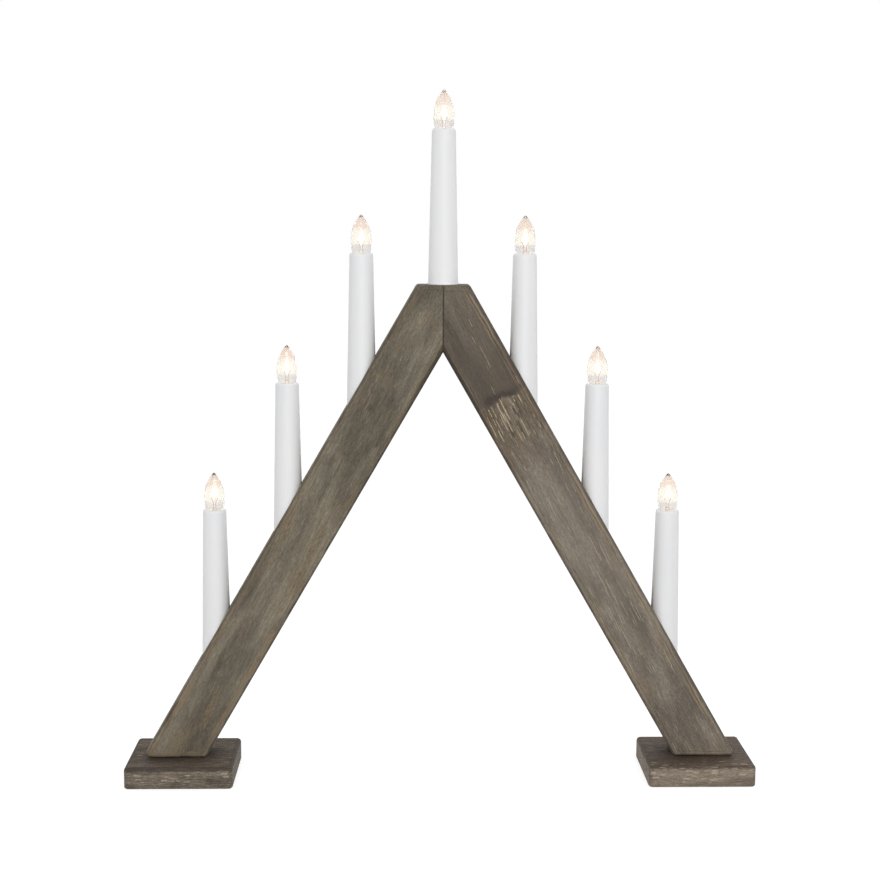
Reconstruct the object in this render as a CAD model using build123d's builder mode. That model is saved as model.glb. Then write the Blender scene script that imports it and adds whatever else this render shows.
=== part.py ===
from build123d import *
import os
from math import cos, pi, radians, sin, tan

# An electric candle arch: two stained planks mitred into an A on two block feet, with seven
# plastic candle tubes, one on the apex and three on each slope, each with a screw-in candle bulb.
# Millimetres. X runs along the arch, Y to its back, Z up. The origin is on the floor, mid-arch.

# The planks
lean = 30  # degrees from the vertical
arch_height = 340  # floor to the flat on top of the wood
top_flat_width = 35
plank_width = 37.5
plank_thickness = 24
plank_edge_round = 2.8
mitre_ease = 0.35
mitre_ease_corners = 4

# The feet
foot_height = 15
foot_depth = 61
foot_outer_overhang = 10
foot_inner_overhang = 20
foot_edge_round = 2.6
foot_corner_round = 3
foot_base_ease = 0.8

# The candle tubes, all from one moulding and cut to sit on the slope
side_candles = 3
top_candle_distance = 73.8  # down the slope from the corner of the top flat to the upper candle
low_candle_rise = 15  # along the underside, from the foot up to the bore of the lowest candle
tube_length = 102
tube_top_diameter = 15.7
tube_base_diameter = 20
tube_bore_diameter = 13.8
tube_shoulder_round = 2
tube_mouth_diameter = 12.9
tube_mouth_depth = 2.4
tube_web = 1.5
tube_lip_diameter = 21.2
tube_lip_height = 1.2
spigot_diameter = 12
spigot_depth = 6

# The lampholder pressed into the top of each tube
holder_depth = 23
holder_floor = 2.2
holder_bore_diameter = 12
socket_depth = 6.6  # from the rim down to the top of the screw shell
shell_bore_diameter = 10
shell_wall = 0.3
shell_rise = 1.6  # above the floor of the cup
spring_width = 3
spring_thickness = 0.4
spring_length = 7
spring_slope_share = 0.25

# The candle bulb, an E10 lamp 14 mm across and 42 mm long
bulb_tip_height = 24.9  # above the rim of the tube
bulb_tip_diameter = 1.4
bulb_tip_rise = 0.4
bulb_tip_wall = 1.8
bulb_shoulder_diameter = 12
bulb_shoulder_height = 15.3
bulb_shoulder_bulge = 0.5
bulb_diameter = 13.8
bulb_widest_height = 7.8
bulb_rim_diameter = 12.3
bulb_glass_wall = 0.6
bulb_neck_diameter = 8.6
bulb_neck_bottom = 12.5  # below the rim
cap_diameter = 9.5
cap_wall = 0.3
cap_top = 5.8  # below the rim
cap_skirt_bottom = 14.2
contact_bottom = 17.1
insulator_top_diameter = 7.4
insulator_bottom_diameter = 5
insulator_bottom = 16.4
contact_diameter = 3.6
stem_diameter = 3.2
stem_top = 1.5  # above the rim
stem_flare_height = 3.2
support_spread = 1.6
support_sink = 1.4  # of the wires in the stem
support_bend_height = 3
support_height = 6.2
filament_height = 12.2
filament_spread = 4.6
filament_dip = 8
filament_diameter = 0.24
filament_sides = 4
thread_pitch = 1.814
unscrew_turns = 4

# Joinery and fasteners
dowel_diameter = 5
dowel_length = 28
dowel_offset = 6.5
dowel_drop = 22  # below the top flat
screw_diameter = 3.5
screw_length = 35
screw_head_diameter = 7
screw_head_sink = 0.5
screw_spacing = 12
countersink = 90  # degrees, of the screws and of their holes

# The wiring, in a groove along the underside of each plank
groove_width = 6
groove_depth = 9
groove_end_rise = 6  # from the foot, along the plank
cover_thickness = 2.2
wire_bore_diameter = 5
wire_diameter = 1.6
wire_bend = 4
wire_sides = 6
wire_depth = 5.6
wire_side_offset = 1.2
wire_pair_offset = 1
inlet_diameter = 5.5
inlet_depth = 6.1
inlet_from_end = 4

# Clearances
fixed_clearance = 0.05  # between pieces pressed or glued together
moving_clearance = 0.1  # between a bulb and what it turns in, at rest
overrun = 5  # of every cut past the face that it starts from

# Places that follow from those sizes
lean_angle = radians(lean)
half_flat = top_flat_width / 2
plank_across = plank_width / cos(lean_angle)
notch_height = arch_height - (plank_across - half_flat) / tan(lean_angle)
base_outer_x = half_flat + (arch_height - foot_height) * tan(lean_angle)
base_inner_x = base_outer_x - plank_across
foot_outer_x = base_outer_x + foot_outer_overhang
foot_inner_x = base_inner_x - foot_inner_overhang
half_thickness = plank_thickness / 2
seat_slope = 1 / tan(lean_angle)
taper = (tube_base_diameter - tube_top_diameter) / 2 / tube_length
spigot_radius = spigot_diameter / 2
spigot_bore_radius = spigot_radius + fixed_clearance
wire_bore_radius = wire_bore_diameter / 2
inner_face_length = (notch_height - foot_height) / cos(lean_angle)
groove_end = inner_face_length - groove_end_rise
screw_rise = screw_head_sink + screw_length - foot_height
screw_x = (base_inner_x + base_outer_x - screw_rise * tan(lean_angle)) / 2
screw_head_height = (screw_head_diameter - screw_diameter) / 2 / tan(radians(countersink) / 2)
top_candle_x = half_flat + top_candle_distance * sin(lean_angle)
low_candle_x = (inner_face_length - low_candle_rise) * sin(lean_angle)
candle_step = (low_candle_x - top_candle_x) / (side_candles - 1)
holder_cup_depth = holder_depth - holder_floor


class Candle:
    """Where one candle stands: its axis, the wood under it and the rim of its tube."""

    def __init__(self, number, x):
        self.number = number
        self.x = x
        self.side = (x > 0) - (x < 0)
        self.rise = seat_slope if self.side else 0
        drop = (abs(x) - half_flat) / tan(lean_angle) if self.side else 0
        self.seat = arch_height - drop
        self.rim = self.seat + tube_length - tube_base_diameter / 2 * self.rise
        self.spigot_bottom = self.seat - spigot_radius * self.rise - spigot_depth
        self.axis = Axis((x, 0, 0), (0, 0, 1))
        self.profile_plane = Plane((x, 0, self.rim), x_dir=(1, 0, 0), z_dir=(0, -1, 0))
        slope = (self.side * cos(lean_angle), 0, sin(lean_angle))
        self.seat_plane = Plane((x, 0, self.seat), z_dir=slope if self.side else (0, 0, 1))


right_places = [top_candle_x + step * candle_step for step in range(side_candles)]
left_places = [-x for x in reversed(right_places)]
candles = [Candle(number, x) for number, x in enumerate(left_places + [0] + right_places, 1)]


def tube_radius(depth):
    """The outside of a candle tube at a depth below its rim."""
    return tube_top_diameter / 2 + taper * depth


def under_plank(distance, depth, side):
    """A point a distance down the underside of a plank from the notch, and a depth into the wood."""
    x = distance * sin(lean_angle) + depth * cos(lean_angle)
    return side * x, notch_height - distance * cos(lean_angle) + depth * sin(lean_angle)


def groove_strip(depth, end, side):
    """The outline of a strip under a plank, from the mitre to its end and to a depth in the wood."""
    mitre_top = notch_height + depth / sin(lean_angle)
    return (0, notch_height), under_plank(end, 0, side), under_plank(end, depth, side), (0, mitre_top)


def save(piece, name):
    """Labels a finished piece and writes it."""
    piece.part.label = name
    export_step(piece.part, f"parts/{name}.step")
    print(f"{name}: {len(piece.part.solids())} solids, {piece.part.volume:.1f} mm3")


def plank(side):
    """One slanted plank: mitred at the apex, rounded along its edges, bored and grooved for the wires."""
    with BuildPart() as leg:
        with BuildSketch(Plane.XZ):
            with BuildLine():
                Polyline(
                    (0, notch_height),
                    (0, arch_height),
                    (side * half_flat, arch_height),
                    (side * base_outer_x, foot_height),
                    (side * base_inner_x, foot_height),
                    close=True,
                )
            make_face()
        extrude(amount=half_thickness, both=True)
        clear_of_mitre = leg.edges().filter_by(lambda edge: abs(edge.center().X) > mitre_ease)
        fillet(clear_of_mitre, plank_edge_round)
        with BuildSketch(Plane.XY.offset(notch_height - overrun)):
            with GridLocations(0, plank_thickness, 1, 2):
                RegularPolygon(mitre_ease, mitre_ease_corners)
        extrude(amount=arch_height - notch_height + 2 * overrun, mode=Mode.SUBTRACT)

        # The groove for the wires, and the bores that lead from it to the candles
        with BuildSketch(Plane.XZ):
            with BuildLine():
                Polyline(*groove_strip(groove_depth, groove_end, side), close=True)
            make_face()
        extrude(amount=groove_width / 2, both=True, mode=Mode.SUBTRACT)
        for candle in candles:
            if candle.side in (side, 0):
                bore_top = candle.seat + spigot_bore_radius * candle.rise + overrun
                with BuildSketch(Plane.XY.offset(candle.spigot_bottom)):
                    with Locations((candle.x, 0)):
                        Circle(spigot_bore_radius)
                extrude(amount=bore_top - candle.spigot_bottom, mode=Mode.SUBTRACT)
                underside = notch_height - abs(candle.x) / tan(lean_angle)
                with BuildSketch(Plane.XY.offset(underside)):
                    with Locations((candle.x, 0)):
                        Circle(wire_bore_radius)
                extrude(amount=candle.spigot_bottom - underside, mode=Mode.SUBTRACT)

        # The blind holes for the mitre's dowels and the pilot holes for the foot's screws
        with BuildSketch(Plane.YZ):
            with Locations((0, arch_height - dowel_drop)):
                with GridLocations(2 * dowel_offset, 0, 2, 1):
                    Circle(dowel_diameter / 2 + fixed_clearance)
        extrude(amount=side * (dowel_length / 2 + fixed_clearance), mode=Mode.SUBTRACT)
        with BuildSketch(Plane.XY.offset(foot_height)):
            with Locations((side * screw_x, 0)):
                with GridLocations(screw_spacing, 0, 2, 1):
                    Circle(screw_diameter / 2 + fixed_clearance)
        extrude(amount=screw_rise + fixed_clearance, mode=Mode.SUBTRACT)

        # The inlet for the supply cord, from the back of the left plank into its groove
        if side < 0:
            with BuildSketch(Plane.XZ.offset(-half_thickness)):
                with Locations(under_plank(groove_end - inlet_from_end, inlet_depth, side)):
                    Circle(inlet_diameter / 2)
            extrude(amount=half_thickness, mode=Mode.SUBTRACT)
    return leg


def foot(side):
    """One block foot: rounded on top and at its corners, with two countersunk holes from below."""
    foot_length = foot_outer_x - foot_inner_x
    with BuildPart() as block:
        with BuildSketch():
            with Locations((side * (foot_outer_x + foot_inner_x) / 2, 0)):
                RectangleRounded(foot_length, foot_depth, foot_corner_round)
        extrude(amount=foot_height)
        fillet(block.faces().sort_by(Axis.Z)[-1].edges(), foot_edge_round)
        chamfer(block.faces().sort_by(Axis.Z)[0].edges(), foot_base_ease)
        with Locations(Plane((side * screw_x, 0, 0), z_dir=(0, 0, -1))):
            with GridLocations(screw_spacing, 0, 2, 1):
                CounterSinkHole(
                    screw_diameter / 2 + fixed_clearance,
                    screw_head_diameter / 2 + screw_head_sink + fixed_clearance,
                    foot_height,
                    counter_sink_angle=countersink,
                )
    return block


def screws():
    """Four countersunk wood screws, up through the feet into the ends of the planks."""
    with BuildPart() as four:
        for middle in (-screw_x, screw_x):
            for x in (middle - screw_spacing / 2, middle + screw_spacing / 2):
                with BuildSketch(Plane((x, 0, screw_head_sink), x_dir=(1, 0, 0), z_dir=(0, -1, 0))):
                    with BuildLine():
                        Polyline(
                            (0, 0),
                            (screw_head_diameter / 2, 0),
                            (screw_diameter / 2, screw_head_height),
                            (screw_diameter / 2, screw_length),
                            (0, screw_length),
                            close=True,
                        )
                    make_face()
                revolve(axis=Axis((x, 0, 0), (0, 0, 1)))
    return four


def dowels():
    """Two beech dowels across the mitre, one each side of the wire bore."""
    with BuildPart() as pair:
        with BuildSketch(Plane.YZ):
            with Locations((0, arch_height - dowel_drop)):
                with GridLocations(2 * dowel_offset, 0, 2, 1):
                    Circle(dowel_diameter / 2)
        extrude(amount=dowel_length / 2, both=True)
    return pair


def candle_tube(candle):
    """A tapered tube with a rounded mouth, cut to its seat, and a spigot that plugs into the wood."""
    deepest = candle.rim - candle.seat + tube_base_diameter * candle.rise + overrun
    with BuildPart() as hollow:
        with BuildSketch(Plane.XY.offset(candle.rim - tube_mouth_depth)):
            with Locations((candle.x, 0)):
                Circle(tube_bore_diameter / 2)
        extrude(amount=-deepest)
        split(bisect_by=candle.seat_plane.offset(tube_web), keep=Keep.TOP)
    with BuildPart() as tube:
        with BuildSketch(candle.profile_plane) as outline:
            with BuildLine():
                Polyline(
                    (0, 0),
                    (tube_radius(0), 0),
                    (tube_radius(deepest), -deepest),
                    (0, -deepest),
                    close=True,
                )
            make_face()
            fillet(outline.vertices().group_by(Axis.Y)[-1].sort_by(Axis.X)[-1], tube_shoulder_round)
        revolve(axis=candle.axis)
        split(bisect_by=candle.seat_plane, keep=Keep.TOP)
        if not candle.side:
            with BuildSketch(Plane.XY.offset(candle.seat)):
                Circle(tube_lip_diameter / 2)
            extrude(amount=tube_lip_height)
        with BuildSketch(Plane.XY.offset(candle.spigot_bottom)):
            with Locations((candle.x, 0)):
                Circle(spigot_radius)
        extrude(amount=candle.seat + spigot_radius * candle.rise + tube_web - candle.spigot_bottom)
        add(hollow.part, mode=Mode.SUBTRACT)
        with BuildSketch(Plane.XY.offset(candle.rim)):
            with Locations((candle.x, 0)):
                Circle(tube_mouth_diameter / 2)
        extrude(amount=-tube_mouth_depth, mode=Mode.SUBTRACT)
        with BuildSketch(Plane.XY.offset(candle.spigot_bottom)):
            with Locations((candle.x, 0)):
                Circle(wire_bore_radius)
        extrude(amount=candle.rim - candle.spigot_bottom - tube_mouth_depth, mode=Mode.SUBTRACT)
    return tube


def lamp_holder(candle):
    """The insulating cup of an E10 lampholder, pressed up against the mouth of the tube."""
    radius = tube_bore_diameter / 2 - fixed_clearance
    socket_radius = shell_bore_diameter / 2 + shell_wall + fixed_clearance
    with BuildPart() as holder:
        with BuildSketch(candle.profile_plane):
            with BuildLine():
                Polyline(
                    (holder_bore_diameter / 2, -tube_mouth_depth),
                    (radius, -tube_mouth_depth),
                    (radius, -holder_depth),
                    (0, -holder_depth),
                    (0, -holder_cup_depth),
                    (socket_radius, -holder_cup_depth),
                    (socket_radius, -socket_depth),
                    (holder_bore_diameter / 2, -socket_depth),
                    close=True,
                )
            make_face()
        revolve(axis=candle.axis)
    return holder


def screw_shells():
    """The brass screw shell of each lampholder, a sleeve that stands clear of the cup's floor."""
    shell_length = holder_cup_depth - shell_rise - socket_depth
    with BuildPart() as shells:
        for candle in candles:
            with BuildSketch(Plane.XY.offset(candle.rim - socket_depth)):
                with Locations((candle.x, 0)):
                    Circle(shell_bore_diameter / 2 + shell_wall)
                    Circle(shell_bore_diameter / 2, mode=Mode.SUBTRACT)
            extrude(amount=-shell_length)
    return shells


def contact_springs():
    """The bent brass leaf on the floor of each lampholder, which meets the bulb's contact."""
    top = -contact_bottom - moving_clearance
    floor = -holder_cup_depth
    bend = spring_length * spring_slope_share
    with BuildPart() as springs:
        for candle in candles:
            with BuildSketch(candle.profile_plane):
                with BuildLine():
                    Polyline(
                        (-spring_length / 2, floor),
                        (bend, floor),
                        (bend, floor + spring_thickness),
                        (-spring_length / 2 + spring_thickness, floor + spring_thickness),
                        (-bend, top - spring_thickness),
                        (bend, top - spring_thickness),
                        (bend, top),
                        (-bend - spring_thickness, top),
                        close=True,
                    )
                make_face()
            extrude(amount=spring_width / 2, both=True)
    return springs


def bulb_glass(candle):
    """The clear envelope of a candle bulb: a neck, a belly and a pointed tip, as one thin shell."""
    wall = bulb_glass_wall
    neck_radius = bulb_neck_diameter / 2
    rim_radius = bulb_rim_diameter / 2
    widest_radius = bulb_diameter / 2
    shoulder_radius = bulb_shoulder_diameter / 2
    shoulder_point = (shoulder_radius, bulb_shoulder_height)
    tip_point = (bulb_tip_diameter / 2, bulb_tip_height - bulb_tip_rise)
    neck_top = -cap_top + wall
    with BuildPart() as envelope:
        with BuildSketch(candle.profile_plane):
            with BuildLine():
                Polyline((neck_radius, -bulb_neck_bottom), (neck_radius, neck_top), (rim_radius, 0))
                ThreePointArc((rim_radius, 0), (widest_radius, bulb_widest_height), shoulder_point)
                SagittaArc(shoulder_point, tip_point, -bulb_shoulder_bulge)
                Polyline(
                    tip_point,
                    (0, bulb_tip_height),
                    (0, bulb_tip_height - bulb_tip_wall),
                    (shoulder_radius - wall, bulb_shoulder_height),
                    (rim_radius - wall, 0),
                    (neck_radius - wall, neck_top),
                    (neck_radius - wall, -bulb_neck_bottom),
                    (neck_radius, -bulb_neck_bottom),
                )
            make_face()
        revolve(axis=candle.axis)
    return envelope


def bulb_cap(candle):
    """The brass screw cap of a bulb, crimped round the neck and closed over the insulator."""
    radius = cap_diameter / 2
    with BuildPart() as cap:
        with BuildSketch(candle.profile_plane):
            with BuildLine():
                Polyline(
                    (radius, -cap_top),
                    (radius, -cap_skirt_bottom),
                    (insulator_top_diameter / 2, -cap_skirt_bottom - cap_wall),
                    (insulator_top_diameter / 2, -cap_skirt_bottom),
                    (radius - cap_wall, -cap_skirt_bottom + cap_wall),
                    (radius - cap_wall, -cap_top),
                    close=True,
                )
            make_face()
        revolve(axis=candle.axis)
    return cap


def bulb_contact(candle):
    """The glass insulator under a bulb's cap, with the solder contact on its tip."""
    with BuildPart() as contact:
        with BuildSketch(candle.profile_plane):
            with BuildLine():
                Polyline(
                    (0, -cap_skirt_bottom - fixed_clearance),
                    (insulator_top_diameter / 2 - fixed_clearance, -cap_skirt_bottom - fixed_clearance),
                    (insulator_bottom_diameter / 2, -insulator_bottom),
                    (contact_diameter / 2, -insulator_bottom),
                    (contact_diameter / 2, -contact_bottom),
                    (0, -contact_bottom),
                    close=True,
                )
            make_face()
        revolve(axis=candle.axis)
    return contact


def bulb_stem(candle):
    """The glass stem of a bulb, with its two support wires and the filament bent between them."""
    flare_radius = bulb_neck_diameter / 2 - bulb_glass_wall - fixed_clearance
    half_wire = [
        (support_spread / 2, 0, stem_top - support_sink),
        (support_spread / 2, 0, support_bend_height),
        (filament_spread / 2, 0, support_height),
        (filament_spread / 2, 0, filament_height),
    ]
    with BuildPart() as stem:
        with BuildSketch(candle.profile_plane):
            with BuildLine():
                Polyline(
                    (0, -bulb_neck_bottom),
                    (flare_radius, -bulb_neck_bottom),
                    (stem_diameter / 2, -bulb_neck_bottom + stem_flare_height),
                    (stem_diameter / 2, stem_top),
                    (0, stem_top),
                    close=True,
                )
            make_face()
        revolve(axis=candle.axis)
        with BuildLine(Plane((candle.x, 0, candle.rim))) as wire:
            Polyline(*half_wire, (0, 0, filament_dip), *[(-x, y, z) for x, y, z in reversed(half_wire)])
        with BuildSketch(Plane(wire.wire() @ 0, z_dir=wire.wire() % 0)):
            RegularPolygon(filament_diameter / 2, filament_sides)
        sweep(transition=Transition.RIGHT)
    return stem


def wire_point(x, side, y):
    """The point in a plank's groove straight under a place along the arch."""
    distance = (abs(x) - wire_depth * cos(lean_angle)) / sin(lean_angle)
    height = notch_height - distance * cos(lean_angle) + wire_depth * sin(lean_angle)
    return x, y, height


def wire_drop(candle, offset, side, y, toward_apex):
    """A wire's points from under a lampholder down into the groove of a plank, and round into it."""
    x = candle.x + offset
    corner = wire_point(x, side, y)
    top = (x, y, candle.rim - holder_depth)
    if not toward_apex:
        return [top, corner]
    above = (x, y, corner[2] + wire_bend)
    beside = (x - side * wire_bend * sin(lean_angle), y, corner[2] + wire_bend * cos(lean_angle))
    return [top, above, beside]


def wiring():
    """The insulated wires: a feed, one span from each lampholder to the next, and the return."""
    y = wire_side_offset
    gap = wire_pair_offset
    inlet_x = under_plank(groove_end - inlet_from_end, wire_depth, -1)[0]
    apex = (0, -y, notch_height + wire_depth / sin(lean_angle))
    feed = [wire_point(inlet_x, -1, y), *reversed(wire_drop(candles[0], -gap, -1, y, False))]
    back = [*wire_drop(candles[-1], gap, 1, -y, True), apex, wire_point(inlet_x, -1, -y)]
    routes = [feed, back]
    for left, right in zip(candles, candles[1:]):
        side = right.side or -1
        start = wire_drop(left, gap, side, y, toward_apex=side < 0)
        end = wire_drop(right, -gap, side, y, toward_apex=side > 0)
        routes.append([*start, *reversed(end)])
    with BuildPart() as wires:
        for route in routes:
            with BuildLine() as path:
                Polyline(*route)
            with BuildSketch(Plane(path.wire() @ 0, z_dir=path.wire() % 0)):
                RegularPolygon(wire_diameter / 2, wire_sides)
            sweep(transition=Transition.RIGHT)
    return wires


def groove_cover(side):
    """The thin strip that closes the groove under one plank, flush with the wood."""
    with BuildPart() as strip:
        with BuildSketch(Plane.XZ):
            with BuildLine():
                Polyline(*groove_strip(cover_thickness, groove_end - fixed_clearance, side), close=True)
            make_face()
        extrude(amount=groove_width / 2 - fixed_clearance, both=True)
    return strip


os.makedirs("parts", exist_ok=True)

for side, name in ((-1, "left"), (1, "right")):
    save(plank(side), f"{name}_leg")
    save(foot(side), f"{name}_foot")
    save(groove_cover(side), f"{name}_groove_cover")
save(dowels(), "mitre_dowels")
save(screws(), "foot_screws")
save(wiring(), "wiring")
save(screw_shells(), "screw_shells")
save(contact_springs(), "contact_springs")
for candle in candles:
    save(candle_tube(candle), f"candle_tube_{candle.number}")
    save(lamp_holder(candle), f"lamp_holder_{candle.number}")
    save(bulb_glass(candle), f"bulb_glass_{candle.number}")
    save(bulb_cap(candle), f"bulb_cap_{candle.number}")
    save(bulb_contact(candle), f"bulb_contact_{candle.number}")
    save(bulb_stem(candle), f"bulb_stem_{candle.number}")

lift = thread_pitch * unscrew_turns
print(f"a bulb lifts {lift:.3f} mm in {unscrew_turns} turns, {thread_pitch / 2 / pi:.6f} mm a radian")
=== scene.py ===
from math import cos, hypot, pi, radians, sin, tan

import bmesh
import bpy
from mathutils import Matrix, Vector


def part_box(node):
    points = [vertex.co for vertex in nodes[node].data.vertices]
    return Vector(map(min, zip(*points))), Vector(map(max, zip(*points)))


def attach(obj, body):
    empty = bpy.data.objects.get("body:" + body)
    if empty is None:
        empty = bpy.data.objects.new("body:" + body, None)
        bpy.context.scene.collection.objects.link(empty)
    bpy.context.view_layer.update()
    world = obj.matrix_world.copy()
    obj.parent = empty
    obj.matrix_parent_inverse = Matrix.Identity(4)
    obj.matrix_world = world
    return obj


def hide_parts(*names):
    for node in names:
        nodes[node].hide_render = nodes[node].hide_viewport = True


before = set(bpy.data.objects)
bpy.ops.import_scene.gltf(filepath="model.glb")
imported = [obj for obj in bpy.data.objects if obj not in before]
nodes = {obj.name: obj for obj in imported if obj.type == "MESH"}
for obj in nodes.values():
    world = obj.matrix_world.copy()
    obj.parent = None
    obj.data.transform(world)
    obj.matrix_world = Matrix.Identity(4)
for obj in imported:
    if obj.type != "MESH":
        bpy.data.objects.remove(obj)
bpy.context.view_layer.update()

mm = 0.001


# The studio: a white table and backdrop in an even light, a little stronger from the front right.
# None of it belongs to the object. The camera stands where the photograph was taken from.

def connect(tree, sockets, values):
    """Gives sockets their values, or links them to other sockets."""
    for name, value in dict(values).items():
        if isinstance(value, bpy.types.NodeSocket):
            tree.links.new(value, sockets[name])
        else:
            sockets[name].default_value = value


def add(tree, kind, inputs=(), **settings):
    """Adds a node to a tree, sets it up, and gives its sockets their values or links."""
    new = tree.nodes.new(kind)
    for name, value in settings.items():
        setattr(new, name, value)
    connect(tree, new.inputs, inputs)
    return new


def math(tree, operation, first, second=0.0, third=0.0):
    """A Math node's result."""
    return add(tree, "ShaderNodeMath", {0: first, 1: second, 2: third}, operation=operation).outputs[0]


def product(tree, first, *others):
    """Values multiplied together."""
    for other in others:
        first = math(tree, "MULTIPLY", first, other)
    return first


def vector(tree, operation, first, second=(0, 0, 0)):
    """A Vector Math node's result: a vector, or a number if it is a length."""
    results = add(tree, "ShaderNodeVectorMath", {0: first, 1: second}, operation=operation).outputs
    return results["Value" if operation == "LENGTH" else "Vector"]


def seen_directly(tree):
    """1 for rays that show the backdrop, straight or through glass or a reflection, 0 for light."""
    path = add(tree, "ShaderNodeLightPath").outputs
    direct = math(tree, "MAXIMUM", path["Is Camera Ray"], path["Is Glossy Ray"])
    return math(tree, "MAXIMUM", direct, path["Is Transmission Ray"])


def new_object(name, data):
    """A new object in the scene."""
    thing = bpy.data.objects.new(name, data)
    bpy.context.collection.objects.link(thing)
    return thing


camera = new_object("camera", bpy.data.cameras.new("camera"))
camera.location = (-0.0263, -0.9989, 0.3861)
yaw, tilt, roll = radians(1.424), radians(8.595), radians(0.312)
aim = Matrix.Rotation(-yaw, 3, "Z") @ Matrix.Rotation(pi / 2 - tilt, 3, "X") @ Matrix.Rotation(roll, 3, "Z")
camera.rotation_euler = aim.to_euler()
camera.data.lens = 61.08
camera.data.sensor_width = 36
bpy.context.scene.camera = camera

bpy.context.scene.view_settings.view_transform = "Standard"
ambient_level, backdrop_level = 0.73, 1.0
world = bpy.data.worlds.new("white studio")
bpy.context.scene.world = world
world.use_nodes = True
tree = world.node_tree
tree.nodes.clear()
light = add(tree, "ShaderNodeBackground", {"Color": (1, 1, 1, 1), "Strength": ambient_level})
backdrop = add(tree, "ShaderNodeBackground", {"Color": (1, 1, 1, 1), "Strength": backdrop_level})
settings = {0: seen_directly(tree), 1: light.outputs[0], 2: backdrop.outputs[0]}
either = add(tree, "ShaderNodeMixShader", settings)
add(tree, "ShaderNodeOutputWorld", {"Surface": either.outputs[0]})


def softbox(name, place, aim, size, power):
    """A square studio lamp that points at a place."""
    lamp = bpy.data.lights.new(name, "AREA")
    lamp.size = size
    lamp.energy = power
    holder = new_object(name, lamp)
    holder.location = place
    holder.rotation_euler = (Vector(aim) - Vector(place)).to_track_quat("-Z", "Y").to_euler()


softbox("key light", place=(0.15, -1.7, 0.7), aim=(0, 0, 0.2), size=1.4, power=10.2)
softbox("top light", place=(0.0, 0.5, 1.7), aim=(0, 0, 0.2), size=1.0, power=1.6)

mesh = bpy.data.meshes.new("table")
mesh.from_pydata([(-6, -6, 0), (6, -6, 0), (6, 6, 0), (-6, 6, 0)], [], [(0, 1, 2, 3)])
table = new_object("table", mesh)
white_table = bpy.data.materials.new("white table")
white_table.use_nodes = True
tree = white_table.node_tree
tree.nodes.clear()
reach = vector(tree, "LENGTH", add(tree, "ShaderNodeTexCoord").outputs["Object"])
settings = {"Value": reach, "From Min": 0.3, "From Max": 0.7, "To Min": 0.66, "To Max": 0.59}
brightness = add(tree, "ShaderNodeMapRange", settings).outputs[0]
glow = product(tree, brightness, seen_directly(tree))
lit = add(tree, "ShaderNodeBsdfDiffuse", {"Color": (0.6, 0.6, 0.6, 1)})
white = add(tree, "ShaderNodeEmission", {"Color": (1, 1, 1, 1), "Strength": glow})
both = add(tree, "ShaderNodeAddShader", {0: lit.outputs[0], 1: white.outputs[0]})
add(tree, "ShaderNodeOutputMaterial", {"Surface": both.outputs[0]})
mesh.materials.append(white_table)


# The planks: two lengths of solid wood, stained grey brown, planed, and rounded along every edge.
# The stain wore through in thin pale lines along the roundings, and pale fibres stand out of it.

def colour(red, green, blue):
    """A colour as a shader takes it, from the values of a screen, which are all over 10 here."""
    return (*(((value / 255 + 0.055) / 1.055) ** 2.4 for value in (red, green, blue)), 1)


def group(name, inputs, outputs, tree_kind="ShaderNodeTree"):
    """An empty node group with its sockets, and its inner input and output nodes."""
    tree = bpy.data.node_groups.new(name, tree_kind)
    kinds = {
        "v": "NodeSocketVector", "f": "NodeSocketFloat", "c": "NodeSocketColor",
        "g": "NodeSocketGeometry", "m": "NodeSocketMaterial",
    }
    for word, kind, value in inputs:
        socket = tree.interface.new_socket(word, in_out="INPUT", socket_type=kinds[kind])
        if value is not None:
            socket.default_value = value
    for word, kind in outputs:
        tree.interface.new_socket(word, in_out="OUTPUT", socket_type=kinds[kind])
    return tree, add(tree, "NodeGroupInput").outputs, add(tree, "NodeGroupOutput").inputs


def use(tree, rule, inputs):
    """The outputs of a node group with its inputs set."""
    return add(tree, "ShaderNodeGroup", inputs, node_tree=rule).outputs


def separate(tree, value):
    """A vector's three parts."""
    return add(tree, "ShaderNodeSeparateXYZ", {0: value}).outputs


def combine(tree, x=0.0, y=0.0, z=0.0):
    """A vector of three parts."""
    return add(tree, "ShaderNodeCombineXYZ", {0: x, 1: y, 2: z}).outputs[0]


def scaled(tree, value, factor):
    """A vector times a number."""
    return add(tree, "ShaderNodeVectorMath", {0: value, "Scale": factor}, operation="SCALE").outputs[0]


def turned(tree, value, angle):
    """A vector turned round the Y axis."""
    settings = {"Vector": value, "Axis": (0, 1, 0), "Angle": angle}
    return add(tree, "ShaderNodeVectorRotate", settings, rotation_type="AXIS_ANGLE").outputs[0]


def apart(tree, first, second=0.0):
    """How far two values are from each other."""
    return math(tree, "ABSOLUTE", math(tree, "SUBTRACT", first, second))


def ramp(tree, value, low, high, to_low=0.0, to_high=1.0):
    """A value brought smoothly from one range to another."""
    settings = {"Value": value, "From Min": low, "From Max": high, "To Min": to_low, "To Max": to_high}
    return add(tree, "ShaderNodeMapRange", settings, interpolation_type="SMOOTHSTEP").outputs[0]


def fade(tree, value, low, high):
    """1 up to a low value, and smoothly down to 0 at a high one."""
    return ramp(tree, value, low, high, 1.0, 0.0)


def between(tree, value, starts, full, fades, ends):
    """1 within a range, and smoothly down to 0 on both sides of it."""
    return product(tree, ramp(tree, value, starts, full), fade(tree, value, fades, ends))


def noise(tree, place, stretch, detail=2.0, roughness=0.5, distortion=0.0):
    """Noise with its own number of waves a metre along each axis."""
    settings = {
        "Vector": vector(tree, "MULTIPLY", place, stretch), "Scale": 1.0,
        "Detail": detail, "Roughness": roughness, "Distortion": distortion,
    }
    return add(tree, "ShaderNodeTexNoise", settings).outputs["Fac"]


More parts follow.
